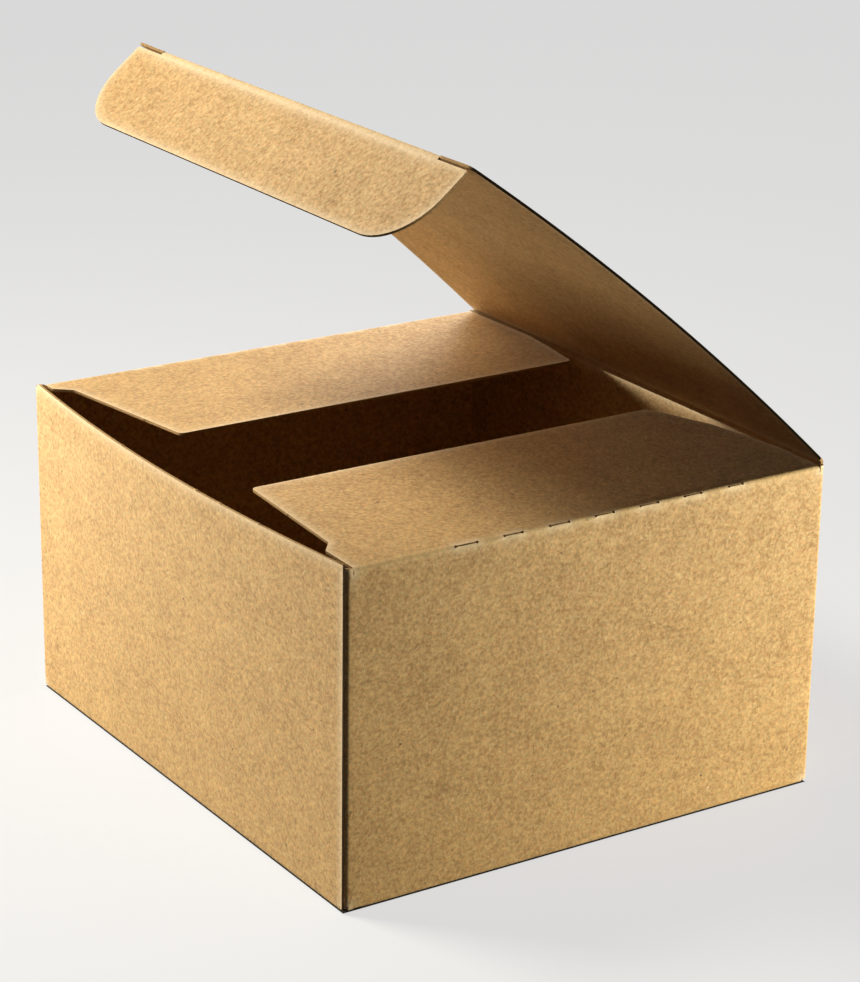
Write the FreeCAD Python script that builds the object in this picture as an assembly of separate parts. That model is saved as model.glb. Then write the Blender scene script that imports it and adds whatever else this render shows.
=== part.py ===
"""Small kraft carton with a hinged lid and tuck flap, folded from one sheet of boxboard.

The origin is at the middle of the base. X runs along the lid's crease, the front wall faces -Y
and Z is up. Sizes are in millimetres, slopes in degrees.
"""
import FreeCAD, Part
import math
import os

# the carton and its board
length = 114.3
depth = 101.6
height = 63.5
board = 0.5
crease_out = 0.8
layer_gap = 0.06
hinge_gap = 0.1

# walls
front_bow = 3.5
front_edge_gap = 0.35
leg_run = 0.2
wall_foot = 0.6
glue_flap = 12.0
glue_flap_slope = 22.0

# lid, drawn where it stands ajar
lid_lift = 39.5
lid_curl = 4.5
lid_side_gap = 0.3
lid_front_gap = 0.1
tab_overhang = 0.85
tab_round = 1.2
slit_long = 9.5
slit_wide = 0.2

# tuck flap
tuck_deep = 18.3
tuck_round = 11.5
tuck_side_gap = 0.4
tuck_fold_shut = 95.0
lid_swing = 180.0

# dust flaps: how far each reaches in, and how far its edges stand off the front and back
dust_drop = 0.8
dust_tilt = 0.8
dust_deep = 41.0
dust_front_gap = 2.7
dust_back_gap = 1.2
dust_round = 1.0
right_dust = {
    "shoulder": 9.1,
    "notch": 12.1,
    "notch_in": 4.6,
    "front_in": 6.8,
    "back_start": 12.0,
    "back_mid": 28.0,
    "back_mid_in": 4.2,
    "back_in": 9.6,
}
left_dust = {
    "shoulder": 3.6,
    "notch": 6.6,
    "notch_in": 5.6,
    "front_in": 11.2,
    "back_start": 22.0,
    "back_mid": 31.0,
    "back_mid_in": 2.4,
    "back_in": 4.2,
}

# cut slits along each dust flap's crease
slit_count = 7
slit_pitch = 9.525
slit_run = 3.2
slit_thick = 0.25
slit_shift = 2.0

# bottom flaps: each starts on the base and steps up into its own layer
bottom_round = 5.0
bottom_end_gap = 1.2
bottom_mitre = 8.5
step_start = 2.0
step_end = 8.2
step_bend = 1.0
side_panel_reach = 40.0
side_panel_taper = 22.0
back_panel_reach = 43.9
back_panel_taper = 4.0
front_panel_reach = 62.0
front_panel_taper = 4.0
tongue_wide = 34.0
tongue_cut = 0.6
tongue_root = 52.0
tongue_ramp = 5.0
tongue_reach = 76.0

half_x = length / 2
half_y = depth / 2
bend = crease_out - board / 2
pitch = board + layer_gap
leg_low = crease_out + leg_run
leg_high = height - dust_drop - crease_out - leg_run
hinge_y = half_y - board / 2
hinge_z = height - board / 2
tuck_axis_in = board + lid_front_gap + tab_overhang
chord = hinge_y + half_y - tuck_axis_in
lid_half = half_x - lid_side_gap
tuck_half = half_x - board - tuck_side_gap
tuck_ratio = tuck_fold_shut / lid_swing


def vec(x, y, z=0.0):
    return FreeCAD.Vector(x, y, z)


def turned(angle):
    return vec(math.cos(math.radians(angle)), math.sin(math.radians(angle)))


def rounded(points, rounds):
    """A flat face whose outline runs through the points, each corner with its own radius."""
    starts = []
    middles = []
    ends = []
    for i, here in enumerate(points):
        back = (points[i - 1] - here).normalize()
        ahead = (points[(i + 1) % len(points)] - here).normalize()
        half = back.getAngle(ahead) / 2
        cut = rounds[i] / math.tan(half)
        inward = (back + ahead).normalize() if rounds[i] else vec(0, 0)
        starts.append(here + back * cut)
        middles.append(here + inward * (rounds[i] / math.sin(half) - rounds[i]))
        ends.append(here + ahead * cut)
    edges = []
    for i, radius in enumerate(rounds):
        if radius:
            edges.append(Part.Arc(starts[i], middles[i], ends[i]).toShape())
        after = starts[(i + 1) % len(points)]
        if (after - ends[i]).Length > 1e-6:
            edges.append(Part.makeLine(ends[i], after))
    return Part.Face(Part.Wire(edges))


def strip(line, bends):
    """Board seen edge on: line holds its middle points and bends the radius at each of them."""
    sides = []
    for side in (1, -1):
        points = []
        rounds = []
        for i, here in enumerate(line):
            ways = [(line[j + 1] - line[j]).normalize() for j in (i - 1, i) if 0 <= j < len(line) - 1]
            normals = [vec(-way.y, way.x) * side for way in (ways[0], ways[-1])]
            both = (normals[0] + normals[1]).normalize()
            points.append(here + both * (board / 2 / both.dot(normals[0])))
            inner = normals[0].dot(ways[-1]) > 0
            radius = bends[i] - board / 2 if inner else bends[i] + board / 2
            rounds.append(radius if bends[i] else 0)
        sides.append((points, rounds))
    points = sides[0][0] + sides[1][0][::-1]
    rounds = sides[0][1] + sides[1][1][::-1]
    return rounded(points, rounds)


def prism(face, low, high):
    """A solid over a face drawn in X and Y, from one height to another."""
    solid = face.extrude(vec(0, 0, high - low))
    solid.translate(vec(0, 0, low))
    return solid


def box(x0, x1, y0, y1, z0, z1):
    return Part.makeBox(x1 - x0, y1 - y0, z1 - z0, vec(x0, y0, z0))


def bowed_slab(y_low, thick, z_low, z_high):
    """The front wall or a layer of it: straight along its foot and bowed out along its top."""
    left = -half_x + crease_out
    right = half_x - front_edge_gap

    def top_arc(y):
        ends = [vec(left, y, z_high), vec((left + right) / 2, y - front_bow, z_high), vec(right, y, z_high)]
        return Part.Arc(*ends).toShape()

    def foot_line(y):
        return Part.makeLine(vec(left, y, z_low), vec(right, y, z_low))

    feet = [foot_line(y_low), foot_line(y_low + thick)]
    tops = [top_arc(y_low), top_arc(y_low + thick)]
    faces = [Part.makeRuledSurface(foot, top) for foot, top in zip(feet, tops)]
    for x in (left, right):
        rim = [vec(x, y_low, z_low), vec(x, y_low + thick, z_low)]
        rim += [vec(x, y_low + thick, z_high), vec(x, y_low, z_high)]
        faces.append(Part.Face(Part.makePolygon(rim + rim[:1])))
    for edges, z in ((feet, z_low), (tops, z_high)):
        joins = [Part.makeLine(vec(x, y_low, z), vec(x, y_low + thick, z)) for x in (left, right)]
        faces.append(Part.Face(Part.Wire(Part.__sortEdges__(edges + joins))))
    shell = Part.makeShell(faces)
    shell.sewShape()
    solid = Part.makeSolid(shell)
    if solid.Volume < 0:
        solid.reverse()
    return solid


def flap(line, bends, outline, rounds, span):
    """A flap on the left wall: its bent strip runs along the wall and its outline trims it.

    In the outline the first number runs inward from the wall and the second along the wall.
    """
    face = strip(line, bends)
    face.rotate(vec(0, 0), vec(1, 0), 90)
    solid = face.extrude(vec(0, span, 0))
    trim = prism(rounded([vec(u, v) for u, v in outline], rounds), -height, 2 * height)
    return solid.common(trim)


def dust_flap(cut):
    """A dust flap on the left wall, folded in under the lid, with slits along its crease."""
    level = height - dust_drop - board / 2
    mid = vec(board / 2, level)
    tip = mid + turned(dust_tilt) * (dust_deep + 5)
    outline = [
        (-1, dust_front_gap), (cut["shoulder"], dust_front_gap), (cut["notch"], cut["notch_in"]),
        (dust_deep, cut["front_in"]), (dust_deep, depth - cut["back_in"]),
        (cut["back_mid"], depth - cut["back_mid_in"]), (cut["back_start"], depth - dust_back_gap),
        (-1, depth - dust_back_gap),
    ]
    rounds = [0, 0.4, 0.8, dust_round, dust_round, 0, 0, 0]
    solid = flap([vec(board / 2, leg_high), mid, tip], [0, bend, 0], outline, rounds, depth)
    first = half_y + slit_shift - (slit_count - 1) * slit_pitch / 2 - slit_run / 2
    for i in range(slit_count):
        slit = box(-3, 3, 0, slit_run, -slit_thick / 2, slit_thick / 2)
        slit.rotate(vec(0, 0), vec(0, 1), 45)
        slit.translate(vec(crease_out, first + i * slit_pitch, level - bend))
        solid = solid.cut(slit)
    return solid


def bottom_flap(layer, reach, taper, span):
    """A bottom flap on the left wall, mitred at its corners and stepped up into its layer."""
    level = board / 2
    line = [vec(board / 2, leg_low), vec(board / 2, level)]
    bends = [0, bend]
    if layer:
        line += [vec(step_start, level), vec(step_end, level + layer * pitch)]
        bends += [step_bend, step_bend]
    line.append(vec(reach + 5, level + layer * pitch))
    bends.append(0)
    mitre_in = bottom_end_gap + bottom_mitre - crease_out
    near = [(-1, bottom_end_gap), (crease_out, bottom_end_gap)]
    near += [(bottom_mitre, mitre_in), (reach, mitre_in + taper)]
    far = [(u, span - v) for u, v in reversed(near)]
    rounds = [0, 0, 0, bottom_round]
    return flap(line, bends, near + far, rounds + rounds[::-1], span)


def on_left(solid):
    solid.translate(vec(-half_x, -half_y))
    return solid


def on_right(solid):
    return on_left(solid).mirror(vec(0, 0), vec(1, 0))


def on_front(solid):
    solid.rotate(vec(0, 0), vec(0, 0, 1), 90)
    solid.translate(vec(half_x, -half_y))
    return solid


def on_back(solid):
    solid.rotate(vec(0, 0), vec(0, 0, 1), -90)
    solid.translate(vec(-half_x, half_y))
    return solid


def front_panel():
    """The outermost bottom flap, with a tongue that steps up over the other layers."""
    panel = bottom_flap(0, front_panel_reach, front_panel_taper, length)
    low = half_x - tongue_wide / 2
    high = half_x + tongue_wide / 2
    panel = panel.cut(box(tongue_root, depth, low, high, -1, 5))
    slit_root = tongue_root - tongue_ramp
    for v in (low, high):
        panel = panel.cut(box(slit_root, depth, v - tongue_cut / 2, v + tongue_cut / 2, -1, 5))
    level = board / 2
    inside = level + 3 * pitch
    line = [
        vec(tongue_root - 1, level), vec(tongue_root + 0.5, level),
        vec(tongue_root + 0.5 + tongue_ramp, inside), vec(tongue_reach + 5, inside),
    ]
    outline = [
        (tongue_root - 2, low + tongue_cut / 2), (tongue_reach, low + tongue_cut / 2),
        (tongue_reach, high - tongue_cut / 2), (tongue_root - 2, high - tongue_cut / 2),
    ]
    rounds = [0, bottom_round, bottom_round, 0]
    tongue = flap(line, [0, step_bend, step_bend, 0], outline, rounds, length)
    return panel.fuse(tongue)


def carton_body():
    x = half_x - board / 2
    y = half_y - board / 2
    lap = -half_y + board * 1.5
    line = [
        vec(half_x - crease_out, lap), vec(x, lap), vec(x, y), vec(-x, y),
        vec(-x, -y), vec(-half_x + crease_out, -y),
    ]
    ring = prism(strip(line, [0, bend, bend, bend, bend, 0]), wall_foot, height - dust_drop)
    back_span = half_x - bottom_end_gap
    side_span = half_y - bottom_end_gap
    ring = ring.cut(box(-back_span, back_span, half_y - 1, half_y + 1, -1, leg_low))
    for side in (-1, 1):
        left, right = sorted((side * (half_x - board), side * (half_x + 1)))
        ring = ring.cut(box(left, right, -side_span, side_span, -1, leg_low))
        ring = ring.cut(box(left, right, -half_y + dust_front_gap, half_y - dust_back_gap, leg_high, height))
    back_top = height - board - hinge_gap
    pieces = [
        box(-half_x + crease_out, half_x - crease_out, half_y - board, half_y, height - dust_drop, back_top),
        bowed_slab(-half_y, board, leg_low, height),
        on_left(dust_flap(left_dust)),
        on_right(dust_flap(right_dust)),
        on_left(bottom_flap(1, side_panel_reach, side_panel_taper, depth)),
        on_right(bottom_flap(1, side_panel_reach, side_panel_taper, depth)),
        on_back(bottom_flap(2, back_panel_reach, back_panel_taper, length)),
        on_front(front_panel()),
    ]
    lap_slab = bowed_slab(-half_y + board / 2, board * 1.5, leg_low, height)
    slope = glue_flap * math.tan(math.radians(glue_flap_slope))
    low = leg_low
    high = height - dust_drop
    rim = [
        vec(half_x - crease_out, 0, low), vec(half_x - glue_flap, 0, low + slope),
        vec(half_x - glue_flap, 0, high - slope), vec(half_x - crease_out, 0, high),
    ]
    outline = Part.Face(Part.makePolygon(rim + rim[:1])).extrude(vec(0, -depth, 0))
    pieces.append(lap_slab.common(outline))
    return ring.multiFuse(pieces).removeSplitter()


def trimmed(solid, outline, rounds):
    """Keeps what lies inside an outline: first number away from the crease, second along it."""
    trim = prism(rounded([vec(s, w) for s, w in outline], rounds), -20, 20)
    trim.rotate(vec(0, 0), vec(1, 0), 90)
    return solid.common(trim)


def placed(solid, y, z, lift):
    """Stands a panel, drawn away from its crease along X, on the crease at this lift."""
    cos = math.cos(math.radians(lift))
    sin = math.sin(math.radians(lift))
    solid.transformShape(FreeCAD.Matrix(0, 0, -1, 0, -cos, sin, 0, y, sin, cos, 0, z))
    return solid


def lid():
    """A gently curled panel from the hinge to just past the tuck's fold, notched between its slits."""
    radius = chord / 2 / math.sin(math.radians(lid_curl))
    centre = vec(chord / 2, -radius * math.cos(math.radians(lid_curl)))
    way = turned(lid_curl) * (board / 2)
    side = turned(90 + lid_curl) * (board / 2)
    angles = (90 + lid_curl, 90, 88 - lid_curl)
    outer = [centre + turned(a) * (radius + board / 2) for a in angles]
    inner = [centre + turned(a) * (radius - board / 2) for a in reversed(angles)]
    edges = [
        Part.Arc(*outer).toShape(),
        Part.makeLine(outer[-1], inner[0]),
        Part.Arc(*inner).toShape(),
        Part.Arc(vec(0, 0) - side, vec(0, 0) - way, vec(0, 0) + side).toShape(),
    ]
    panel = prism(Part.Face(Part.Wire(edges)), -lid_half, lid_half)
    reach = chord + tab_overhang
    outline = [(-5, -lid_half), (reach, -lid_half), (reach, lid_half), (-5, lid_half)]
    panel = trimmed(panel, outline, [0, tab_round, tab_round, 0])
    notch = lid_half - slit_long
    gap = board / 2 + hinge_gap
    return panel.cut(box(chord - gap, chord + 5, -5, 5, -notch, notch))


def tuck():
    """The tuck flap: full width at its fold between the slits, with two big rounded corners."""
    plate = box(0, tuck_deep, -board / 2, board / 2, -tuck_half, tuck_half)
    outline = [(-1, -tuck_half), (tuck_deep, -tuck_half), (tuck_deep, tuck_half), (-1, tuck_half)]
    plate = trimmed(plate, outline, [0, tuck_round, tuck_round, 0])
    fold = lid_half - slit_long - slit_wide / 2
    relief = tab_overhang + slit_wide
    for low, high in ((-half_x, -fold), (fold, half_x)):
        plate = plate.cut(box(-1, relief, -1, 1, low, high))
    edge = Part.makeCylinder(board / 2, 2 * fold, vec(0, 0, -fold))
    return plate.fuse(edge).removeSplitter()


fold_y = hinge_y - chord * math.cos(math.radians(lid_lift))
fold_z = hinge_z + chord * math.sin(math.radians(lid_lift))
fold_now = tuck_fold_shut - tuck_ratio * lid_lift
tuck_lift = lid_lift - lid_curl - fold_now

os.makedirs("parts", exist_ok=True)
carton_body().exportStep("parts/carton_body.step")
placed(lid(), hinge_y, hinge_z, lid_lift).exportStep("parts/lid.step")
placed(tuck(), fold_y, fold_z, tuck_lift).exportStep("parts/tuck_flap.step")
print("lid hinge at", round(hinge_y, 3), round(hinge_z, 3))
print("tuck fold at", round(fold_y, 3), round(fold_z, 3), "ratio", round(tuck_ratio, 4))
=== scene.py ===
# %% [markdown]
# # A small kraft carton with its lid ajar
# The carton is one sheet of stiff brown board, cut out flat, creased and folded up. This lesson
# makes it in the same order: cut the flat blank, fold every point of it, then give the board its
# thickness, its pulp and its cut edges. The CAD model is loaded first as a fixed frame, so each
# sheet lands where the CAD solid is and moves with its body.

# %% Load the fixed frame
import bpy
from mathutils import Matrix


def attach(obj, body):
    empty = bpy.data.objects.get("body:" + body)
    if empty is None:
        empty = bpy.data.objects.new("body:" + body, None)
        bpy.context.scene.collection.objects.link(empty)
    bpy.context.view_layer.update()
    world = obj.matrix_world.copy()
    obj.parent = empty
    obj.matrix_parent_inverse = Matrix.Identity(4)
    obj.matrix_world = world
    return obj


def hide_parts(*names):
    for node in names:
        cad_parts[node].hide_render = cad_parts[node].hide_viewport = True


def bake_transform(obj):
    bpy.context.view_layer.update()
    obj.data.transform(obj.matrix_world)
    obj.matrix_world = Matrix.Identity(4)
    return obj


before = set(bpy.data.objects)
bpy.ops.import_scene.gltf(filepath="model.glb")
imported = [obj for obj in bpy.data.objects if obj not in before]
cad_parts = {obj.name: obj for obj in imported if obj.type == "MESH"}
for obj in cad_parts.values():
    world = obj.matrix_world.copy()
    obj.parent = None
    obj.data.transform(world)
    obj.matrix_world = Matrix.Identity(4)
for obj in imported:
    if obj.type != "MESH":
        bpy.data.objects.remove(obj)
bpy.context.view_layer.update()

# %% The other tools this lesson uses
import math

import bpy
import numpy as np
from mathutils import Matrix, Vector, geometry, noise

MM = 0.001

# %% [markdown]
# ## The carton's sizes
# They are the CAD model's own, in millimetres: X runs along the lid's crease, the front wall faces
# -Y and Z is up. Keeping one named value for each size means a flap's fold, its outline and its
# neighbour's gap can never disagree.

# %% Sizes of the walls and the lid
length, depth, height = 114.3, 101.6, 63.5
board = 0.5
crease_out = 0.8
layer_gap = 0.06
front_bow = 3.48
leg_low = 1.0
leg_high = 61.5
wall_foot = 0.6
corner_top = 62.7
glue_flap, glue_slope = 12.0, 22.0
raw_edge_gap = 0.35
lid_lift, lid_curl = 39.5, 4.5
fold_overhang, tab_round = 0.85, 1.2
lid_side_gap, tuck_side_gap = 0.3, 0.4
tab_long = 9.5
tuck_deep, tuck_round = 18.3, 11.5
tuck_turn = 74.154

half_x, half_y = length / 2, depth / 2
bend = crease_out - board / 2
mid_x, mid_y = half_x - board / 2, half_y - board / 2
lid_half = half_x - lid_side_gap
tuck_half = half_x - board - tuck_side_gap
print(f"carton {length} x {depth} x {height} mm, board {board} mm, bends of {bend} mm")

# %% Sizes of the dust flaps and bottom flaps
dust_tilt, dust_deep = 0.8, 41.0
dust_front_gap, dust_back_gap, dust_round = 2.0, 1.2, 1.0
dust_cuts = {
    "right": {"shoulder": 9.1, "notch": 12.1, "notch_in": 4.4, "front_in": 6.05,
              "back_start": 12.0, "back_mid": 28.0, "back_mid_in": 4.2, "back_in": 9.6},
    "left": {"shoulder": 3.6, "notch": 6.6, "notch_in": 5.2, "front_in": 9.6,
             "back_start": 22.0, "back_mid": 31.0, "back_mid_in": 2.4, "back_in": 4.2},
}
slit_count, slit_pitch, slit_shift = 7, 9.525, 2.0
slit_runs = [4.9, 4.2, 4.5, 4.3, 4.4, 4.2, 3.6]
bottom_round, bottom_end_gap, bottom_mitre = 5.0, 1.2, 8.5
step_start, step_end, step_bend = 2.0, 8.2, 1.0
bottom_flaps = {
    "right": {"layer": 1, "reach": 40.0, "taper": 22.0},
    "back": {"layer": 2, "reach": 43.9, "taper": 4.0},
    "left": {"layer": 1, "reach": 40.0, "taper": 22.0},
    "front": {"layer": 0, "reach": 62.0, "taper": 4.0},
}
tongue_wide, tongue_cut = 34.0, 0.6
tongue_root, tongue_ramp, tongue_reach = 52.0, 5.0, 76.0
relief = 0.15

# %% [markdown]
# ## Board seen edge on
# A fold is easiest to think of in profile: straight runs of board joined by round bends. The same
# little class serves the ring of walls seen from above, the dust flaps and the bottom flaps. It
# is measured along its sharp corners, so a length on the flat blank finds its place when folded.

# %% A line of board with round bends
class BentLine:
    """Straight runs joined by round bends, measured along the sharp corners."""

    def __init__(self, points, radii):
        self.points = [Vector(point) for point in points]
        pairs = list(zip(self.points, self.points[1:]))
        self.ways = [(after - here).normalized() for here, after in pairs]
        self.marks = [0.0]
        for here, after in pairs:
            self.marks.append(self.marks[-1] + (after - here).length)
        self.bends = []
        for i in range(1, len(self.ways)):
            way, after = self.ways[i - 1], self.ways[i]
            turn = math.atan2(way.cross(after), way.dot(after))
            if radii[i] and abs(turn) > 1e-6:
                cut = radii[i] * math.tan(abs(turn) / 2)
                start = self.points[i] - way * cut
                side = math.copysign(radii[i], turn)
                self.bends.append((self.marks[i], cut, turn, start, start + Vector((-way.y, way.x)) * side))

    def at(self, distance):
        """The point of the line at this distance."""
        for mark, cut, turn, start, centre in self.bends:
            if abs(distance - mark) < cut:
                spin = Matrix.Rotation(turn * (distance - mark + cut) / (2 * cut), 2)
                return centre + spin @ (start - centre)
        i = 0
        while i < len(self.ways) - 1 and distance > self.marks[i + 1]:
            i += 1
        return self.points[i] + self.ways[i] * (distance - self.marks[i])

    def reach(self, inward):
        """The distance at which the line, running inward, gets this far in."""
        i = 0
        while i < len(self.ways) - 1 and inward > self.points[i + 1].x:
            i += 1
        while self.ways[i].x < 1e-6:
            i += 1
        return self.marks[i] + (inward - self.points[i].x) / self.ways[i].x


# %% The ring of walls and the flaps in profile
lap_y = -half_y + board * 1.5 + 0.02
plan = BentLine(
    [(half_x - glue_flap, lap_y), (mid_x, lap_y), (mid_x, mid_y), (-mid_x, mid_y), (-mid_x, -mid_y),
     (half_x - raw_edge_gap, -mid_y)],
    [0, bend, bend, bend, bend, 0],
)
walls = ["glue", "right", "back", "left", "front"]
inward_way = {"right": (-1, 0), "back": (0, -1), "left": (1, 0), "front": (0, 1)}

level = corner_top - board / 2
tilt = math.radians(dust_tilt)
tip = (board / 2 + math.cos(tilt) * dust_deep * 1.1, level + math.sin(tilt) * dust_deep * 1.1)
dust_line = BentLine([(board / 2, leg_high), (board / 2, level), tip], [0, bend, 0])


def bottom_line(layer, reach):
    """A bottom flap in profile: down the wall, in along the base, and up into its own layer."""
    line, radii = [(board / 2, leg_low), (board / 2, board / 2)], [0, bend]
    up = board / 2 + layer * (board + layer_gap)
    if layer:
        line += [(step_start, board / 2), (step_end, up)]
        radii += [step_bend, step_bend]
    return BentLine(line + [(reach + 5, up)], radii + [0])


bottom_lines = {wall: bottom_line(cut["layer"], cut["reach"]) for wall, cut in bottom_flaps.items()}
tongue_up = board / 2 + 3 * (board + layer_gap)
tongue_line = BentLine(
    [(board / 2, leg_low), (board / 2, board / 2), (tongue_root + 0.5, board / 2),
     (tongue_root + 0.5 + tongue_ramp, tongue_up), (tongue_reach + 5, tongue_up)],
    [0, bend, step_bend, step_bend, 0],
)
print("the ring of walls is", round(plan.marks[-1], 1), "mm round")

# %% [markdown]
# ## From flat blank to folded box
# On the blank, `across` runs round the walls and `up` runs from the bottom flaps to the lid. One
# function says where a point of the blank ends up. Folding by rule keeps every crease watertight,
# which separate panels laid edge to edge would not.

# %% Where the walls lie on the blank
def on_blank(wall, along):
    """The place across the blank of a point on a wall, along it from the front or right end."""
    start = plan.marks[walls.index(wall)]
    return {
        "right": start + along - half_y - lap_y,
        "back": start + along - half_x + mid_x,
        "left": start + mid_y + half_y - along,
        "front": start + along - half_x + mid_x,
    }[wall]


def wall_at(across):
    """The wall that a place across the blank is on."""
    i = 0
    while i < 4 and across > plan.marks[i + 1]:
        i += 1
    return walls[i]


def span(wall, gap_near, gap_far, whole):
    """The stretch of the blank that a flap takes up on its wall."""
    return sorted((on_blank(wall, gap_near - relief / 2), on_blank(wall, whole - gap_far + relief / 2)))


dust_spans = {wall: span(wall, dust_front_gap, dust_back_gap, depth) for wall in dust_cuts}
whole_of = {"right": depth, "back": length, "left": depth, "front": length}
bottom_spans = {wall: span(wall, bottom_end_gap, bottom_end_gap, whole) for wall, whole in whole_of.items()}
front_middle = on_blank("front", half_x)


# %% Fold a point of the carton's blank
ripple_deep, ripple_long, ripple_high = 0.2, 37, 29


def bow(x, up):
    """How far the front wall stands out: straight along its foot, bowed along its top."""
    left, right = -half_x + crease_out, half_x - raw_edge_gap
    share = (2 * x - left - right) / (right - left)
    return front_bow * max(0, 1 - share * share) * max(0, up - leg_low) / (height - leg_low)


def ripple(across, up, wall):
    """The slight unevenness of a board wall, in millimetres, fading out at its creases."""
    i = walls.index(wall)
    share = (across - plan.marks[i]) / (plan.marks[i + 1] - plan.marks[i])
    rise = min(1, max(0, (up - leg_low) / (leg_high - leg_low)))
    fade = math.sin(math.pi * share) * math.sin(math.pi * rise)
    wave = noise.noise(Vector((across / ripple_long, up / ripple_high, 4.2)))
    return ripple_deep * fade * max(0, 0.5 + wave)


def fold_carton(across, up):
    """Where a point of the flat blank stands on the folded carton."""
    wall = wall_at(across)
    x, y = plan.at(across)
    line, distance = None, 0
    if up > leg_high and wall in dust_spans and dust_spans[wall][0] < across < dust_spans[wall][1]:
        line, distance = dust_line, up - leg_high
    if up < leg_low and wall in bottom_spans and bottom_spans[wall][0] < across < bottom_spans[wall][1]:
        line, distance = bottom_lines[wall], leg_low - up
        if wall == "front" and abs(across - front_middle) < tongue_wide / 2:
            line = tongue_line
    if line:
        reach, z = line.at(distance)
        way = inward_way[wall]
        return Vector((x + way[0] * (reach - board / 2), y + way[1] * (reach - board / 2), z))
    if wall in ("glue", "front"):
        return Vector((x, y - bow(x, up), up))
    way = inward_way[wall]
    dent = ripple(across, up, wall)
    return Vector((x + way[0] * dent, y + way[1] * dent, up))


print("the front wall stands out", round(-fold_carton(front_middle, height).y - mid_y, 2), "mm at its top")

# %% [markdown]
# ## The blank's outline
# A steel rule die cuts the whole outline at once. Its corners are listed as the die maker would
# draw them, round the blank, each with the radius of its rule. Thin relief cuts part each flap
# from the corner beside it.

# %% Corners and soft corners
def soften(corners):
    """A closed outline through corners of (across, up, radius), their arcs cut into short chords."""
    outline = []
    for i, (across, up, radius) in enumerate(corners):
        here = Vector((across, up))
        if not radius:
            outline.append(here)
            continue
        back = (Vector(corners[i - 1][:2]) - here).normalized()
        ahead = (Vector(corners[(i + 1) % len(corners)][:2]) - here).normalized()
        half = back.angle(ahead) / 2
        centre = here + (back + ahead).normalized() * (radius / math.sin(half))
        start, end = here + back * (radius / math.tan(half)), here + ahead * (radius / math.tan(half))
        arm, last = start - centre, end - centre
        turn = math.atan2(arm.cross(last), arm.dot(last))
        steps = max(3, round(3 * math.sqrt(radius)) * 2)
        for k in range(steps + 1):
            outline.append(centre + Matrix.Rotation(turn * k / steps, 2) @ arm)
    return outline


def dust_corners(wall):
    """The outline of a dust flap, from its front end to its back end."""
    cut = dust_cuts[wall]
    drawn = [
        (0, dust_front_gap, 0), (cut["shoulder"], dust_front_gap, 0.4), (cut["notch"], cut["notch_in"], 0.8),
        (dust_deep, cut["front_in"], dust_round), (dust_deep, depth - cut["back_in"], dust_round),
        (cut["back_mid"], depth - cut["back_mid_in"], 6), (cut["back_start"], depth - dust_back_gap, 4),
        (0, depth - dust_back_gap, 0),
    ]
    corners = []
    for inward, along, radius in drawn:
        up = leg_high if not inward else leg_high + dust_line.reach(inward)
        corners.append((on_blank(wall, along), up, radius))
    return corners


def bottom_corners(wall):
    """The outline of a bottom flap, from the right or front end of its wall to the other."""
    cut, whole = bottom_flaps[wall], whole_of[wall]
    line = bottom_lines[wall]
    mitre_in = bottom_end_gap + bottom_mitre - crease_out - 0.2
    near = [(0, bottom_end_gap, 0), (crease_out, bottom_end_gap, 0), (bottom_mitre, mitre_in, 0),
            (cut["reach"], mitre_in + cut["taper"], bottom_round)]
    drawn = near + [(inward, whole - along, radius) for inward, along, radius in reversed(near)]
    corners = []
    for inward, along, radius in drawn:
        up = leg_low if not inward else leg_low - line.reach(inward)
        corners.append((on_blank(wall, along), up, radius))
    if wall == "front":
        half, gap = tongue_wide / 2, tongue_cut / 2
        root = leg_low - line.reach(tongue_root - tongue_ramp)
        rim, end = corners[3][1], leg_low - tongue_line.reach(tongue_reach)
        low, high = front_middle - half, front_middle + half
        corners[4:4] = [
            (low - gap, rim, 0), (low - gap, root, 0),
            (low + gap, root, 0), (low + gap, end, bottom_round),
            (high - gap, end, bottom_round), (high - gap, root, 0),
            (high + gap, root, 0), (high + gap, rim, 0),
        ]
    return corners


# %% Draw the whole blank
wall_top, front_rise = 62.2, 1.2
slope = glue_flap * math.tan(math.radians(glue_slope))
glue_edge = glue_flap - crease_out
corners = [(0, leg_low + slope, 0.5), (0, corner_top - slope, 0.5), (glue_edge, corner_top, 0)]
for wall in ("right", "left"):
    flap = dust_corners(wall)
    if wall == "left":
        flap.reverse()
    first, last = flap[0][0] - relief, flap[-1][0] + relief
    corners += [(first, corner_top, 0), (first, leg_high, 0)] + flap
    corners += [(last, leg_high, 0), (last, corner_top, 0)]
    if wall == "right":
        start, end = on_blank("back", crease_out), on_blank("back", length - crease_out)
        corners += [(start, corner_top, 0), (start, wall_top, 0), (end, wall_top, 0), (end, corner_top, 0)]
start, end = plan.marks[4] + bend, plan.marks[5]
corners += [(start, corner_top, 0), (start + front_rise, height, 0), (end, height, 0), (end, wall_foot, 0)]
for wall in ("front", "left", "back", "right"):
    flap = bottom_corners(wall)
    if wall != "left":
        flap.reverse()
    first, last = flap[0][0] + relief, flap[-1][0] - relief
    corners += [(first, wall_foot, 0), (first, leg_low, 0)] + flap
    corners += [(last, leg_low, 0), (last, wall_foot, 0)]
corners += [(glue_edge, wall_foot, 0), (glue_edge, leg_low, 0)]
blank = soften(corners)
print("the blank has", len(corners), "corners and is", round(max(p.x for p in blank), 1), "mm wide")

# %% [markdown]
# ## Slits and nicks
# Along each dust flap's crease the rule cuts a row of short slits, so that the flap folds square.
# Their ends are a touch wider, where the rule's tips crush the board. The nicks are the small ties
# that held the blank in its sheet: each leaves a speck of torn board standing on the cut edge.

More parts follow.
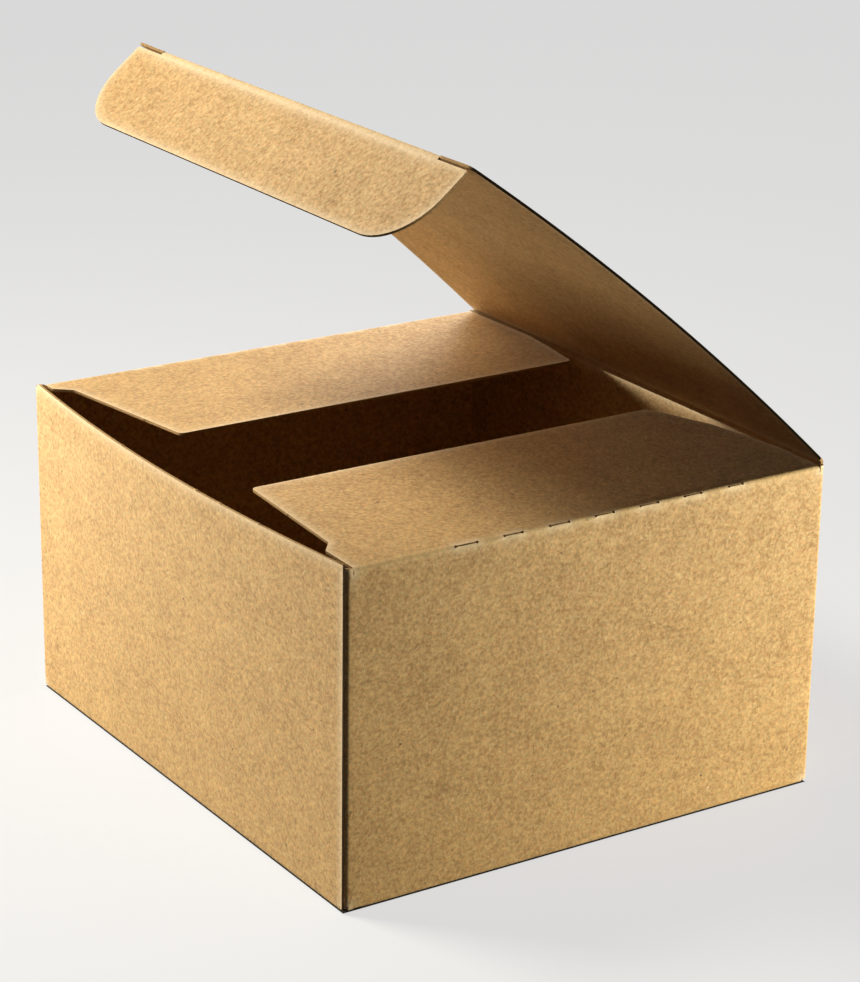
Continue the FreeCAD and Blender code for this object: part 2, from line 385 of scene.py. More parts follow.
# %% Slits along the dust flaps' creases
def slit_hole(wall, i):
    """One slit, centred on the crease, as a thin outline with slightly wider ends."""
    middle = half_y + slit_shift + (i - (slit_count - 1) / 2) * slit_pitch
    run, thin, wide = slit_runs[i] / 2, 0.11, 0.22
    crease = leg_high + dust_line.marks[1] + 0.05
    shape = [(-run, 0), (-run + 0.1, -wide), (-run + 0.4, -wide), (-run + 0.55, -thin), (run - 0.55, -thin),
             (run - 0.4, -wide), (run - 0.1, -wide), (run, 0), (run - 0.1, wide), (run - 0.4, wide),
             (run - 0.55, thin), (-run + 0.55, thin), (-run + 0.4, wide), (-run + 0.1, wide)]
    return [Vector((on_blank(wall, middle + along), crease + up)) for along, up in shape]


slits = [slit_hole(wall, i) for wall in dust_cuts for i in range(slit_count)]


# %% Nicks on the cut edges
def with_nicks(outline, spots, size=0.16, wide=0.5):
    """The outline with a small torn tie standing on it at the edge nearest to each spot."""
    for spot in spots:
        best = None
        for i, here in enumerate(outline):
            after = outline[(i + 1) % len(outline)]
            run = after - here
            if run.length < 3 * wide:
                continue
            share = min(0.9, max(0.1, (Vector(spot) - here).dot(run) / run.length_squared))
            gap = (here + run * share - Vector(spot)).length
            if best is None or gap < best[0]:
                best = (gap, i, here + run * share, run.normalized())
        gap, i, foot, way = best
        out = Vector((-way.y, way.x))
        steps = [(-wide / 2, 0), (-wide / 4, size), (wide / 8, size * 0.7), (wide / 2, 0)]
        outline = outline[: i + 1] + [foot + way * a + out * b for a, b in steps] + outline[i + 1:]
    return outline


nick_spots = [(on_blank("front", along), height) for along in (9, 42, 70, 78, 90)]
nick_spots += [(on_blank("right", along), leg_high + dust_deep) for along in (24, 71)]
nick_spots += [(on_blank("left", along), leg_high + dust_deep) for along in (30, 84)]
nick_spots += [(on_blank("right", 6), leg_high + 28), (on_blank("left", 8), leg_high + 30)]
blank = with_nicks(blank, nick_spots)
print(len(slits), "slits and", len(nick_spots), "nicks")

# %% [markdown]
# ## Cutting the sheet
# The flat sheet is filled with triangles on a regular grid, closer set across the creases, where
# the board has to bend smoothly, and along its edges. A Delaunay triangulation joins them, and
# what falls outside the outline or in a slit is thrown away. Subdividing a simple cage would be
# less work, but it rounds off the die-cut corners.

# %% Help with outlines
def edges_of(loops):
    """The ends of all the loops' edges, as two arrays."""
    starts = np.array([point for loop in loops for point in loop])
    ends = np.array([point for loop in loops for point in loop[1:] + loop[:1]])
    return starts, ends


def inside(points, loops):
    """Which points are inside the outline and outside its holes."""
    starts, ends = edges_of(loops)
    found = np.zeros(len(points), bool)
    for (ax, ay), (bx, by) in zip(starts, ends):
        if ay == by:
            continue
        crosses = (ay > points[:, 1]) != (by > points[:, 1])
        where = ax + (points[:, 1] - ay) * (bx - ax) / (by - ay)
        found ^= crosses & (points[:, 0] < where)
    return found


def distance_to(points, loops):
    """How far each point is from the nearest edge."""
    starts, ends = edges_of(loops)
    nearest = np.full(len(points), 1e9)
    for start, end in zip(starts, ends):
        run = end - start
        share = np.clip(((points - start) @ run) / max(run @ run, 1e-12), 0, 1)
        nearest = np.minimum(nearest, np.linalg.norm(points - start - share[:, None] * run, axis=1))
    return nearest


def split_loop(loop, columns, rows):
    """The loop with extra points wherever it crosses a column or row of the grid."""
    points = []
    for here, after in zip(loop, loop[1:] + loop[:1]):
        run = after - here
        cuts = {0.0}
        for lines, start, size in ((columns, here.x, run.x), (rows, here.y, run.y)):
            if abs(size) > 1e-9:
                shares = (np.array(lines) - start) / size
                cuts |= {float(share) for share in shares if 0 < share < 1}
        last = -1
        for share in sorted(cuts):
            if share == 0 or ((share - last) * run.length > 0.04 and (1 - share) * run.length > 0.04):
                points.append(here + run * share)
                last = share
    return points


# %% Cut a sheet into triangles
def cut_sheet(outline, holes, columns, rows, insets=(0.35, 0.9)):
    """Flat points and triangles of a sheet, and how far each point is from its edge."""
    loops = [split_loop(loop, columns, rows) for loop in [outline] + holes]
    grid = np.array([(x, y) for x in columns for y in rows])
    grid = grid[inside(grid, loops)]
    grid = grid[distance_to(grid, loops) > 0.06]
    near = []
    for i, here in enumerate(loops[0]):
        before, after = loops[0][i - 1], loops[0][(i + 1) % len(loops[0])]
        way = (after - before).normalized()
        near += [here + Vector((way.y, -way.x)) * inset for inset in insets]
    near = np.array(near)
    near = near[inside(near, loops)]
    near = near[distance_to(near, loops) > 0.9 * min(insets)]
    coords, edges = [], []
    for loop in loops:
        first = len(coords)
        coords += loop
        edges += [(first + i, first + (i + 1) % len(loop)) for i in range(len(loop))]
    coords += [Vector(point) for point in np.concatenate([grid, near])]
    points, _, faces, _, _, _ = geometry.delaunay_2d_cdt(coords, edges, [], 0, 1e-5)
    points = np.array(points)
    faces = np.array([face if face_turn(points, face) > 0 else face[::-1] for face in faces])
    faces = faces[inside(points[faces].mean(axis=1), loops)]
    return points, faces, distance_to(points, loops)


def face_turn(points, face):
    """Twice a flat triangle's area, positive when it runs anticlockwise."""
    a, b, c = (points[i] for i in face)
    return (b[0] - a[0]) * (c[1] - a[1]) - (b[1] - a[1]) * (c[0] - a[0])


def grid_lines(low, high, step, creases, width=0.6, fine=6):
    """Evenly spaced grid lines, with a close set of them across each crease."""
    lines = []
    for crease in creases:
        lines += [crease - width + 2 * width * k / fine for k in range(fine + 1)]
    count = max(1, round((high - low) / step))
    for k in range(count + 1):
        line = low + (high - low) * k / count
        if all(abs(line - crease) > width + step / 3 for crease in creases):
            lines.append(line)
    return sorted(lines)


# %% [markdown]
# ## Giving the board its thickness
# Each flat point is folded to its place in space, and the sheet gets an outer and an inner face
# half a board away on either side, with a rim between them. Three things stay stored on the mesh
# for the materials: the point's place on the flat blank, so that the pulp runs on over a crease,
# how near it is to a cut edge, and how near to a crease.

# %% Crease lines on the blank
dust_crease = leg_high + dust_line.marks[1]
base_crease = leg_low - bottom_lines["front"].marks[1]
lid_across = on_blank("back", half_x)
hinge_up = 63.25
chord = mid_y + half_y - board - 0.1 - fold_overhang
curl = math.radians(lid_curl)
lid_radius = chord / 2 / math.sin(curl)
lid_run = lid_radius * 2 * curl
fold_up = hinge_up + lid_run

tab_in = lid_half - tab_long
crease_lines = [((mark, leg_low), (mark, leg_high), 0.6) for mark in plan.marks[1:5]]
crease_lines += [((start, dust_crease), (end, dust_crease), 1.0) for start, end in dust_spans.values()]
crease_lines += [((start, base_crease), (end, base_crease), 0.6) for start, end in bottom_spans.values()]
crease_lines += [((lid_across - lid_half, hinge_up), (lid_across + lid_half, hinge_up), 0.8)]
crease_lines += [((lid_across - tab_in, fold_up), (lid_across + tab_in, fold_up), 0.8)]
print(len(crease_lines), "creases; the lid is", round(lid_run, 1), "mm from hinge to fold")


# %% Fold a sheet and give it thickness
def folded_board(name, sheet, fold):
    """A mesh object of board: outer face, inner face and rim, with its place on the blank stored."""
    flat, faces, from_edge = sheet
    step = 0.01
    outer, inner = [], []
    for across, up in flat:
        place = fold(across, up)
        right = fold(across + step, up) - fold(across - step, up)
        ahead = fold(across, up + step) - fold(across, up - step)
        normal = right.cross(ahead).normalized() * (board / 2)
        outer.append((place + normal) * MM)
        inner.append((place - normal) * MM)
    count = len(flat)
    polygons = [tuple(face) for face in faces] + [tuple(int(i) + count for i in face[::-1]) for face in faces]
    used = {}
    for face in faces:
        for a, b in zip(face, np.roll(face, -1)):
            used[(int(a), int(b))] = True
    rim = [(a, b) for a, b in used if (b, a) not in used]
    polygons += [(b, a, a + count, b + count) for a, b in rim]
    mesh = bpy.data.meshes.new(name)
    mesh.from_pydata(outer + inner, [], [tuple(map(int, p)) for p in polygons])
    mesh.polygons.foreach_set("material_index", [0] * (2 * len(faces)) + [1] * len(rim))
    mesh.polygons.foreach_set("use_smooth", [True] * len(mesh.polygons))
    rim_ends = {frozenset((a, b)) for a, b in rim} | {frozenset((a + count, b + count)) for a, b in rim}
    for edge in mesh.edges:
        edge.use_edge_sharp = frozenset(edge.vertices) in rim_ends
    store_place(mesh, flat, from_edge)
    mesh.validate()
    made = bpy.data.objects.new(name, mesh)
    bpy.context.scene.collection.objects.link(made)
    print(name, "has", len(mesh.vertices), "points and", len(rim), "rim faces")
    return made


def store_place(mesh, flat, from_edge):
    """Stores each point's place on the blank, and its nearness to a cut edge and to a crease."""
    edge_reach, crease_reach = 2.5, 1.6
    near_edge = np.clip(1 - from_edge / edge_reach, 0, 1)
    near_crease = np.zeros(len(flat))
    for start, end, wear in crease_lines:
        far = distance_to(flat, [[Vector(start), Vector(end)]])
        near_crease = np.maximum(near_crease, wear * np.clip(1 - far / crease_reach, 0, 1))
    layers = []
    for side in (1.0, -1.0):
        layers += [(float(across), float(up), side) for across, up in flat]
    place = mesh.attributes.new("blank_place", "FLOAT_VECTOR", "POINT")
    place.data.foreach_set("vector", np.array(layers, np.float32).ravel())
    for label, near in (("near_edge", near_edge), ("near_crease", near_crease)):
        attribute = mesh.attributes.new(label, "FLOAT", "POINT")
        attribute.data.foreach_set("value", np.tile(near, 2).astype(np.float32))


# %% [markdown]
# ## The carton itself
# Walls, dust flaps, bottom flaps and glue flap are all one piece of the blank, as on the real
# carton. They could be nine panels, each turned into place, but one sheet has no joints to hide. It
# becomes one object that stands for the CAD body and rides with it.

# %% Fold up the carton
steps_up = [leg_low - bottom_lines["right"].reach(u) for u in (step_start, step_end)]
ramps_up = [leg_low - tongue_line.reach(u) for u in (tongue_root + 0.5, tongue_root + 0.5 + tongue_ramp)]
columns = grid_lines(0, plan.marks[-1], 2.2, plan.marks[1:5])
rows = grid_lines(-80, 104, 2.2, [base_crease, dust_crease])
rows = sorted(rows + steps_up + ramps_up)
carton_sheet = cut_sheet(blank, slits, columns, rows)
carton = folded_board("carton_board", carton_sheet, fold_carton)
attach(carton, "carton")
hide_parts("carton_body")

# %% [markdown]
# ## Lid and tuck flap
# The lid curls gently from hinge to fold, since board remembers the reel. The tuck flap stays flat.
# A bend modifier would curl the lid too, but a rule gives the CAD model's own arc. Both are cut
# from the same blank, so they keep their place in its pulp.

# %% Fold points of the lid and the tuck flap
hinge = Vector((mid_y, hinge_up))
lift = math.radians(lid_lift)
fold_lift = math.radians(lid_lift - lid_curl)
tuck_lift = math.radians(lid_lift - lid_curl - tuck_turn)


def lid_point(run):
    """The lid's middle line in profile, as Y and Z, at a run from the hinge."""
    angle = math.pi / 2 + curl - run / lid_radius
    far = chord / 2 + lid_radius * math.cos(angle)
    out = lid_radius * (math.sin(angle) - math.cos(curl))
    return Vector((
        hinge.x - math.cos(lift) * far + math.sin(lift) * out,
        hinge.y + math.sin(lift) * far + math.cos(lift) * out,
    ))


fold_axis = lid_point(lid_run)
tuck_way = Vector((-math.cos(tuck_lift), math.sin(tuck_lift)))
fold_way = Vector((-math.cos(fold_lift), math.sin(fold_lift)))


def fold_lid(across, up):
    y, z = lid_point(up - hinge_up)
    return Vector((lid_across - across, y, z))


def fold_tuck(across, up):
    y, z = fold_axis + tuck_way * (up - fold_up)
    return Vector((lid_across - across, y, z))


print("the tuck flap folds at y, z =", [round(value, 3) for value in fold_axis])

# %% Outlines of the lid and the tuck flap
joint_run = 1.0
tab_short, slit_end, tuck_gap = 0.25, 0.15, 0.75


def both_sides(half_outline):
    """A closed outline from its right half of (across from the middle, up, radius)."""
    right = [(lid_across - side, up, radius) for side, up, radius in half_outline]
    left = [(lid_across + side, up, radius) for side, up, radius in reversed(half_outline)]
    return soften(right + left)


lid_outline = both_sides([
    (lid_half, hinge_up + joint_run, 0), (lid_half, fold_up + fold_overhang - tab_short, tab_round),
    (tab_in, fold_up + slit_end, 0), (tab_in, fold_up - joint_run, 0),
])
tuck_outline = both_sides([
    (tab_in, fold_up + joint_run, 0), (tab_in, fold_up + tuck_gap, 0), (tuck_half, fold_up + tuck_gap, 0.3),
    (tuck_half, fold_up + tuck_deep, tuck_round),
])
lid_columns = grid_lines(lid_across - lid_half, lid_across + lid_half, 2.2, [])
lid_rows = grid_lines(hinge_up, fold_up, 2.2, [])
tuck_rows = grid_lines(fold_up, fold_up + tuck_deep, 2.2, [])
lid_sheet = cut_sheet(lid_outline, [], lid_columns, lid_rows)
tuck_sheet = cut_sheet(tuck_outline, [], lid_columns, tuck_rows)
lid = folded_board("lid_board", lid_sheet, fold_lid)
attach(lid, "lid_panel")
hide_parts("lid")
tuck = folded_board("tuck_board", tuck_sheet, fold_tuck)
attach(tuck, "tuck")
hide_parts("tuck_flap")

# %% [markdown]
# ## The two creases that move
# The lid's hinge and the tuck's fold are narrow strips of the same board. Panels that simply meet
# would be easier, but their edges part or cross as the lid turns. Each strip is bent to join the
# two bodies on either side of it, as they stand in this pose.

# %% Crease strips at the hinge and at the tuck's fold
strip_run, hinge_bend = 1.5, 0.8
hinge_way = Vector((-math.cos(lift + curl), math.sin(lift + curl)))
hinge_line = BentLine(
    [(mid_y, wall_top), tuple(hinge), tuple(hinge + hinge_way * strip_run)],
    [0, hinge_bend, 0],
)
fold_line = BentLine(
    [tuple(fold_axis - fold_way * strip_run), tuple(fold_axis), tuple(fold_axis + tuck_way * strip_run)],
    [0, bend, 0],
)


def fold_hinge_strip(across, up):
    y, z = hinge_line.at(up - wall_top)
    return Vector((lid_across - across, y, z))


def fold_tuck_strip(across, up):
    y, z = fold_line.at(up - fold_up + strip_run)
    return Vector((lid_across - across, y, z))


def crease_strip(name, low, high, half_low, half_high, fold):
    """A strip of board between two bodies, bent to join them as they stand."""
    outline = [
        Vector((lid_across - half_low, low)), Vector((lid_across - half_high, high)),
        Vector((lid_across + half_high, high)), Vector((lid_across + half_low, low)),
    ]
    rows = [low + (high - low) * k / 12 for k in range(13)]
    strip = folded_board(name, cut_sheet(outline, [], lid_columns, rows, insets=(0.35,)), fold)
    start, end = (fold(lid_across, up) * MM for up in (low, high))
    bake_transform(strip)
    return strip


hinge_strip = crease_strip(
    "lid_crease", wall_top, hinge_up + joint_run, half_x - crease_out, lid_half, fold_hinge_strip,
)
tuck_strip = crease_strip(
    "tuck_crease", fold_up - joint_run, fold_up + joint_run, tab_in, tab_in, fold_tuck_strip,
)

# %% [markdown]
# ## Kraft pulp
# Unbleached board is a felt of long brown fibres: cloudy where the pulp settled unevenly, streaked
# in every direction by single fibres, and flecked with bark. The pulp is one node group with its
# own inputs, so the faces and the cut edges share it and only their values differ. It could be
# painted as an image, but noise in millimetres stays sharp at any distance.

# %% Help with node groups
def new_group(name, inputs, outputs):
    """A shader node group with named sockets, and its input and output nodes."""
    group = bpy.data.node_groups.new(name, "ShaderNodeTree")
    for label, kind, value in inputs:
        socket = group.interface.new_socket(label, in_out="INPUT", socket_type="NodeSocket" + kind)
        if value is not None:
            socket.default_value = value
    for label, kind in outputs:
        group.interface.new_socket(label, in_out="OUTPUT", socket_type="NodeSocket" + kind)
    return group, group.nodes.new("NodeGroupInput"), group.nodes.new("NodeGroupOutput")


def add(tree, kind, settings=None, **links):
    """Adds a node, sets its settings, and sets or links its inputs by name."""
    node = tree.nodes.new("ShaderNode" + kind)
    for label, value in (settings or {}).items():
        setattr(node, label, value)
    for label, value in links.items():
        socket = node.inputs[int(label[1:])] if label[1:].isdigit() else node.inputs[label.replace("_", " ")]
        if isinstance(value, bpy.types.NodeSocket):
            tree.links.new(value, socket)
        else:
            socket.default_value = value
    return node


def maths(tree, operation, a, b=0.0, clamp=False):
    """One step of arithmetic on two values."""
    return add(tree, "Math", {"operation": operation, "use_clamp": clamp}, _0=a, _1=b).outputs[0]


def mixed(tree, share, a, b, blend="MIX"):
    """Two colours mixed by a share."""
    node = add(tree, "Mix", {"data_type": "RGBA", "blend_type": blend}, _0=share, _6=a, _7=b)
    return node.outputs[2]


def spread(tree, value, low, high, to_low=0.0, to_high=1.0):
    """A value's range spread over another range, cut off at its ends."""
    node = add(tree, "MapRange", {}, Value=value, From_Min=low, From_Max=high, To_Min=to_low, To_Max=to_high)
    return node.outputs[0]


# %% The pulp of kraft board
pulp, given, out = new_group(
    "kraft_pulp",
    [
        ("Place", "Vector", None),
        ("Pale", "Color", (0.70, 0.436, 0.165, 1)), ("Dark", "Color", (0.31, 0.162, 0.050, 1)),
        ("Clouds", "Float", 0.38), ("Fibres", "Float", 1.15),
        ("Hairs", "Float", 0.8), ("Flecks", "Float", 0.8),
    ],
    [("Color", "Color"), ("Height", "Float"), ("Roughness", "Float")],
)
place = given.outputs["Place"]


def grain(scale, detail, roughness=0.5, where=None):
    """Plain noise, with a scale in features to the millimetre."""
    node = add(pulp, "TexNoise", {}, Vector=where or place, Scale=scale, Detail=detail, Roughness=roughness)
    return node.outputs[0]


swirl = add(pulp, "TexNoise", {}, Vector=place, Scale=0.8, Detail=1.0).outputs[1]
pushed = add(pulp, "VectorMath", {"operation": "MULTIPLY_ADD"}, _0=swirl, _1=(1.7, 1.7, 0), _2=place)


def streaks(angle, along, width):
    """Fibres lying one way: noise drawn out along a direction and bent by a slow swirl."""
    laid = add(pulp, "Mapping", {}, Vector=pushed.outputs[0], Rotation=(0, 0, angle))
    pull = (1 / along, 1 / width, 1)
    drawn = add(pulp, "VectorMath", {"operation": "MULTIPLY"}, _0=laid.outputs[0], _1=pull)
    return grain(1.0, 1.0, 0.6, drawn.outputs[0])


def about_zero(value, size):
    """A noise that swings either side of zero, this strong."""
    return maths(pulp, "MULTIPLY", maths(pulp, "SUBTRACT", value, 0.5), size)


cool_fibres, warm_fibres = (0.93, 1.03, 1.08, 1), (1.08, 0.97, 0.91, 1)
hair_pale, bark_brown = (0.80, 0.60, 0.34, 1), (0.085, 0.045, 0.018, 1)

clouds = maths(pulp, "ADD", about_zero(grain(0.09, 2.0), 1.0), about_zero(grain(0.4, 3.0), 0.9))
clouds = maths(pulp, "MULTIPLY", clouds, given.outputs["Clouds"])
felt = 0.0
for angle, along, width in ((0.2, 1.7, 0.58), (1.25, 1.5, 0.54), (2.3, 1.8, 0.62)):
    felt = maths(pulp, "ADD", felt, about_zero(streaks(angle, along, width), 0.42))
felt = maths(pulp, "ADD", felt, about_zero(grain(1.6, 3.0, 0.62), 1.45))
felt = maths(pulp, "MULTIPLY", felt, given.outputs["Fibres"])
line = maths(pulp, "ABSOLUTE", about_zero(streaks(0.9, 2.6, 1.1), 1.0))
hairs = maths(pulp, "MULTIPLY", spread(pulp, line, 0.012, 0.0), spread(pulp, grain(0.75, 0.0), 0.56, 0.62))
hairs = maths(pulp, "MULTIPLY", hairs, given.outputs["Hairs"])
tone = maths(pulp, "ADD", maths(pulp, "ADD", clouds, felt), 0.5, clamp=True)
body = mixed(pulp, tone, given.outputs["Dark"], given.outputs["Pale"])
tint = mixed(pulp, spread(pulp, grain(2.6, 2.0, 0.7), 0.38, 0.62), cool_fibres, warm_fibres)
body = mixed(pulp, 1.0, body, tint, "MULTIPLY")
body = mixed(pulp, maths(pulp, "MULTIPLY", hairs, 0.55), body, hair_pale)
specks = add(pulp, "TexVoronoi", {}, Vector=place, Scale=0.4)
size = add(pulp, "SeparateColor", {}, Color=specks.outputs["Color"]).outputs[0]
size = maths(pulp, "MULTIPLY", maths(pulp, "POWER", size, 4.0), 0.12)
bark = spread(pulp, maths(pulp, "SUBTRACT", size, specks.outputs["Distance"]), -0.015, 0.02)
bark = maths(pulp, "MULTIPLY", bark, given.outputs["Flecks"])
colour = mixed(pulp, bark, body, bark_brown)
pulp.links.new(colour, out.inputs["Color"])
pulp.links.new(maths(pulp, "ADD", tone, hairs), out.inputs["Height"])
pulp.links.new(spread(pulp, tone, 0, 1, 0.82, 0.62), out.inputs["Roughness"])
print("pulp group:", [socket.name for socket in pulp.interface.items_tree])

# %% [markdown]
# ## Broken fibres
# Where board is creased or cut, its skin cracks and short pale fibres lift. It is the same on every
# crease and edge, so it is a second group: it takes how near the crease is and gives a ragged mask.

# %% Lifted fibres along creases and edges
lifted, given, out = new_group(
    "lifted_fibres",
    [("Place", "Vector", None), ("Nearness", "Float", 0.0), ("Grain", "Float", 2.4), ("Reach", "Float", 0.5)],
    [("Mask", "Float"), ("Height", "Float")],
)
ragged = add(
    lifted, "TexNoise", {}, Vector=given.outputs["Place"], Scale=given.outputs["Grain"], Detail=3.0,
    Roughness=0.65,
).outputs[0]
edge = maths(lifted, "ADD", given.outputs["Nearness"], maths(lifted, "MULTIPLY", ragged, 0.9))
edge = maths(lifted, "SUBTRACT", edge, 0.45)
mask = spread(lifted, edge, maths(lifted, "SUBTRACT", 1.0, given.outputs["Reach"]), 1.15)
lifted.links.new(mask, out.inputs["Mask"])
lifted.links.new(maths(lifted, "MULTIPLY", mask, ragged), out.inputs["Height"])


# %% Kraft board, for the faces
def board_material(name):
    """An empty material with its shader, output and the stored place on the blank."""
    material = bpy.data.materials.new(name)
    material.use_nodes = True
    tree = material.node_tree
    shader = tree.nodes["Principled BSDF"]
    where = add(tree, "Attribute", {"attribute_name": "blank_place"}).outputs["Vector"]
    return material, tree, shader, where


def stored(tree, label):
    return add(tree, "Attribute", {"attribute_name": label}).outputs["Fac"]


def use(tree, group, **links):
    """Places a node group in a material and sets or links its inputs."""
    node = add(tree, "Group", {"node_tree": group})
    for label, value in links.items():
        socket = node.inputs[label]
        if isinstance(value, bpy.types.NodeSocket):
            tree.links.new(value, socket)
        else:
            socket.default_value = value
    return node


face, tree, shader, where = board_material("kraft_board_face")
felt_face = use(tree, pulp, Place=where)
cracked = use(tree, lifted, Place=where, Nearness=stored(tree, "near_crease"), Reach=0.6)
frayed = use(tree, lifted, Place=where, Nearness=stored(tree, "near_edge"), Grain=3.2, Reach=0.35)
crack_pale, fray_pale, rub_and_highlight_pale = (0.96, 0.70, 0.33, 1), (0.78, 0.58, 0.34, 1), (0.86, 0.68, 0.45, 1)
paler = felt_face.outputs["Color"]
paler = mixed(tree, maths(tree, "MULTIPLY", cracked.outputs["Mask"], 0.52), paler, crack_pale)
paler = mixed(tree, maths(tree, "MULTIPLY", frayed.outputs["Mask"], 0.5), paler, fray_pale)
# a paler band along every cut edge: partly rubbed wear, partly a painted soft highlight where the edge turns
# to the light
rub_and_highlight = maths(tree, "POWER", stored(tree, "near_edge"), 1.6)
paler = mixed(tree, maths(tree, "MULTIPLY", rub_and_highlight, 0.38), paler, rub_and_highlight_pale)
tree.links.new(paler, shader.inputs["Base Color"])
tree.links.new(felt_face.outputs["Roughness"], shader.inputs["Roughness"])
crack_height = maths(tree, "MULTIPLY", cracked.outputs["Height"], 0.8)
relief_height = maths(tree, "ADD", felt_face.outputs["Height"], crack_height)
bump = add(tree, "Bump", {}, Strength=0.5, Distance=0.00005, Height=relief_height)
tree.links.new(bump.outputs[0], shader.inputs["Normal"])
shader.inputs["Specular IOR Level"].default_value = 0.5
shader.inputs["Sheen Weight"].default_value = 0.08
shader.inputs["Sheen Roughness"].default_value = 0.5

# %% [markdown]
# ## Cut edges
# The die leaves the board's plies showing as fine lines, a little darker than the face, and the
# edge that stands in the groove of the glued corner is darkened with painted shade. It could be a
# plain brown, but the same pulp group, squeezed into plies, keeps the edge and the face looking like one
# board.

# %% Cut edge of the board
cut, tree, shader, where = board_material("kraft_cut_edge")
plies = add(tree, "VectorMath", {"operation": "MULTIPLY"}, _0=where, _1=(1.2, 1.2, 3.0)).outputs[0]
edge_pale, edge_dark, seam_painted_shade = (0.52, 0.32, 0.135, 1), (0.23, 0.125, 0.048, 1), (0.055, 0.026, 0.009, 1)
edge_pulp = use(tree, pulp, Place=plies, Pale=edge_pale, Dark=edge_dark, Flecks=0.0)
across = add(tree, "SeparateXYZ", {}, Vector=where).outputs[0]
# painted shade: the cut edge standing in the groove of the glued corner is darkened to the groove's shade
seam_shade_mask = spread(tree, across, plan.marks[5] - 0.2, plan.marks[5] - 0.1)
edge_with_seam_shade = mixed(tree, seam_shade_mask, edge_pulp.outputs["Color"], seam_painted_shade)
tree.links.new(edge_with_seam_shade, shader.inputs["Base Color"])
tree.links.new(edge_pulp.outputs["Roughness"], shader.inputs["Roughness"])
bump = add(tree, "Bump", {}, Strength=0.6, Distance=0.0001, Height=edge_pulp.outputs["Height"])
tree.links.new(bump.outputs[0], shader.inputs["Normal"])
shader.inputs["Specular IOR Level"].default_value = 0.15

for piece in (carton, lid, tuck, hinge_strip, tuck_strip):
    piece.data.materials.append(face)
    piece.data.materials.append(cut)
print("materials:", face.name, cut.name)

# %% [markdown]
# ## Floor, light and camera
# The floor is plain and pale. A high lamp at the front left puts the dust flaps in the lid's
# shade. A low one at the front left lights the front wall and a low one at the back right lights
# the right wall, each falling off along it. A small one lights the lid from below, and a weak one
# fills the back left corner. All but the high one would burn a bright patch into the floor, so
# their light is kept off it. One broad lamp would be simpler, but leaves the walls flat. The
# camera's place was worked out from the carton's corners in the photograph.

# %% Floor
def plain_material(name, colour, glow):
    """A pale matt surface that shows the camera part of its own colour as well."""
    material = bpy.data.materials.new(name)
    material.use_nodes = True
    tree = material.node_tree
    shader = tree.nodes["Principled BSDF"]
    shader.inputs["Base Color"].default_value = colour
    shader.inputs["Roughness"].default_value = 0.9
    shader.inputs["Specular IOR Level"].default_value = 0.1
    light = add(tree, "Emission", {}, Color=(1, 1, 1, 1), Strength=glow)
    lit = add(tree, "MixShader", {}, _0=0.6, _1=shader.outputs[0], _2=light.outputs[0])
    dim = add(tree, "BsdfDiffuse", {}, Color=(0.12, 0.12, 0.12, 1))
    seen = add(tree, "LightPath").outputs["Is Camera Ray"]
    both = add(tree, "MixShader", {}, _0=seen, _1=dim.outputs[0], _2=lit.outputs[0])
    tree.links.new(both.outputs[0], tree.nodes["Material Output"].inputs[0])
    return material


reach, under = 6, -0.0002
floor_mesh = bpy.data.meshes.new("floor")
floor_ends = [(-reach, -reach), (reach, -reach), (reach, reach), (-reach, reach)]
floor_mesh.from_pydata([(x, y, under) for x, y in floor_ends], [], [(0, 1, 2, 3)])
floor = bpy.data.objects.new("floor", floor_mesh)
floor_mesh.materials.append(plain_material("pale_floor", (0.60, 0.59, 0.575, 1), 1.13))
bpy.context.scene.collection.objects.link(floor)

# %% [markdown]
# ## The dark under the carton
# No light gets under a standing box, but the floor shows the camera some colour of its own, and it
# would shine up through the thin gaps of the base. A dark patch lies under the base, a little
# smaller than it, so it is seen only through those gaps.

# %% Dark patch
patch_x, patch_y, patch_up = (length / 2 - 0.2) * MM, (depth / 2 - 0.2) * MM, -0.0001
patch_mesh = bpy.data.meshes.new("dark_patch")
patch_ends = [(-patch_x, -patch_y), (patch_x, -patch_y), (patch_x, patch_y), (-patch_x, patch_y)]
patch_mesh.from_pydata([(x, y, patch_up) for x, y in patch_ends], [], [(0, 1, 2, 3)])
patch = bpy.data.objects.new("dark_patch", patch_mesh)
patch_dark = bpy.data.materials.new("under_the_carton")
patch_dark.use_nodes = True
patch_dark.node_tree.nodes["Principled BSDF"].inputs["Base Color"].default_value = (0.03, 0.025, 0.02, 1)
patch_dark.node_tree.nodes["Principled BSDF"].inputs["Roughness"].default_value = 0.95
patch_mesh.materials.append(patch_dark)
bpy.context.scene.collection.objects.link(patch)

# %% Lamps and sky
def lamp(name, place, target, size, watts, colour):
    """A square-cornered lamp at a place, turned towards a target."""
    data = bpy.data.lights.new(name, "AREA")
    data.shape = "RECTANGLE"
    data.size, data.size_y = size
    data.energy = watts
    data.color = colour
    made = bpy.data.objects.new(name, data)
    made.location = place
    made.rotation_euler = (Vector(target) - Vector(place)).to_track_quat("-Z", "Y").to_euler()
    bpy.context.scene.collection.objects.link(made)
    return made


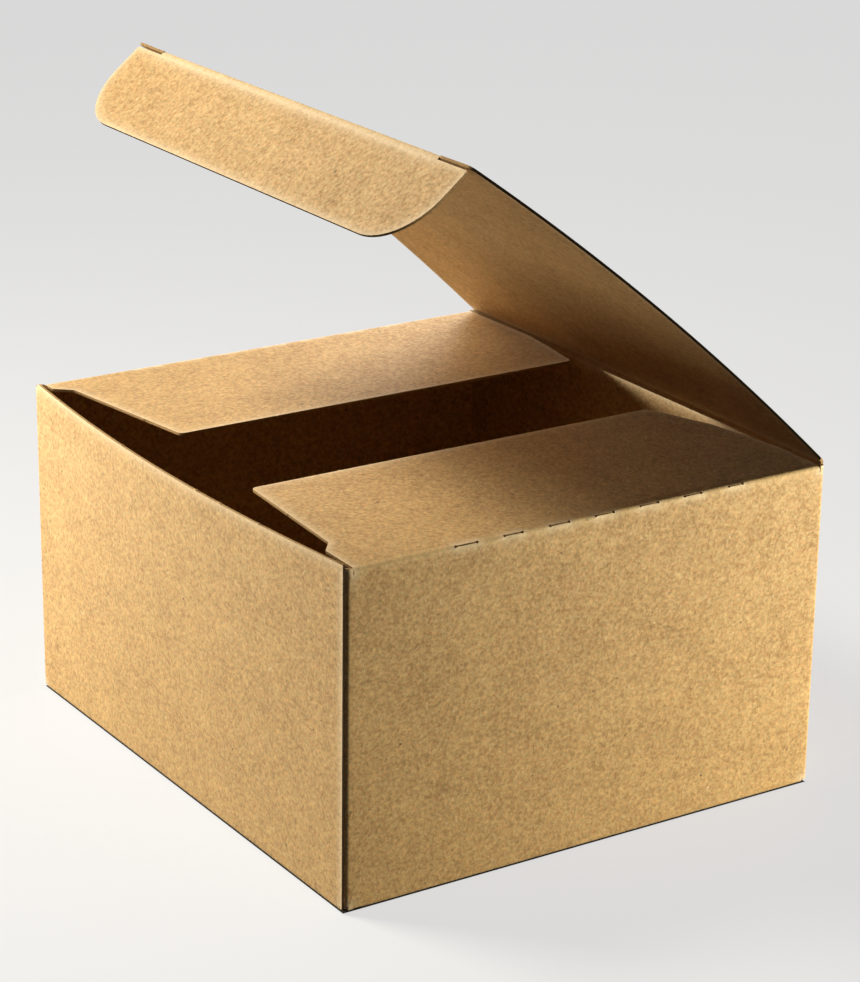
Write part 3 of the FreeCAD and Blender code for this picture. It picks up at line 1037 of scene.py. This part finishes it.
high_white, front_white, lid_white, back_white = (
    (1.0, 0.975, 0.87), (1.0, 0.965, 0.82), (1.0, 0.97, 0.84), (1.0, 0.97, 0.80)
)
lamp("high_front_left", (-0.15, -0.17, 0.34), (0, -0.04, 0.07), (0.12, 0.12), 1.5, high_white)
low_front = lamp("low_front_left", (-0.26, -0.27, 0.09), (0, -0.05, 0.04), (0.20, 0.05), 1.88, front_white)
lid_light = lamp("under_the_lid", (-0.15, -0.17, 0.02), (0, 0, 0.09), (0.08, 0.05), 0.31, lid_white)
low_back = lamp("low_back_right", (0.195, 0.21, 0.03), (0.05, 0.0, 0.03), (0.12, 0.05), 1.05, back_white)
back_left = lamp("back_left", (-0.24, 0.20, 0.12), (0, 0, 0.06), (0.12, 0.08), 0.45, (1.0, 0.97, 0.86))


def keep_off(low_lamp, pieces):
    """Keeps a lamp's light off these pieces."""
    shaded = bpy.data.collections.new(low_lamp.name + "_misses")
    for i, piece in enumerate(pieces):
        shaded.objects.link(piece)
        shaded.collection_objects[i].light_linking.link_state = "EXCLUDE"
    low_lamp.light_linking.receiver_collection = shaded


keep_off(low_front, [floor, lid, tuck, hinge_strip, tuck_strip])
keep_off(back_left, [floor])
keep_off(low_back, [floor, lid])
keep_off(lid_light, [floor, carton, tuck])

world = bpy.data.worlds.new("pale_room")
bpy.context.scene.world = world
world.use_nodes = True
sky = world.node_tree
backdrop = sky.nodes["Background"]
backdrop.inputs["Color"].default_value = (1, 0.98, 0.96, 1)
seen = add(sky, "LightPath").outputs["Is Camera Ray"]
sky.links.new(spread(sky, seen, 0, 1, 0.035, 0.93), backdrop.inputs["Strength"])

# %% Camera
focal_pixels, picture_high = 3081.5, 982
camera_data = bpy.data.cameras.new("camera")
camera_data.sensor_fit = "AUTO"
camera_data.sensor_width = 36
camera_data.lens = focal_pixels / picture_high * 36
camera_data.shift_x = (430 - 416) / picture_high
camera = bpy.data.objects.new("camera", camera_data)
azimuth, rise, roll = (math.radians(angle) for angle in (57.12, 19.84, 0.68))
back = Vector((math.sin(azimuth) * math.cos(rise), -math.cos(azimuth) * math.cos(rise), math.sin(rise)))
right = (-back).cross(Vector((0, 0, 1))).normalized()
above = right.cross(-back)
turned_right = right * math.cos(roll) + above * math.sin(roll)
turned_up = -right * math.sin(roll) + above * math.cos(roll)
place = Vector((0, 0, 0.04942)) + back * 0.57887
pose = Matrix((turned_right, turned_up, back)).transposed().to_4x4()
pose.translation = place
camera.matrix_world = pose
camera_data.clip_start, camera_data.clip_end = 0.01, 50
bpy.context.scene.collection.objects.link(camera)
bpy.context.scene.camera = camera
bpy.context.scene.view_settings.view_transform = "Standard"
print("camera at", [round(value, 3) for value in place], "lens", round(camera_data.lens, 1))
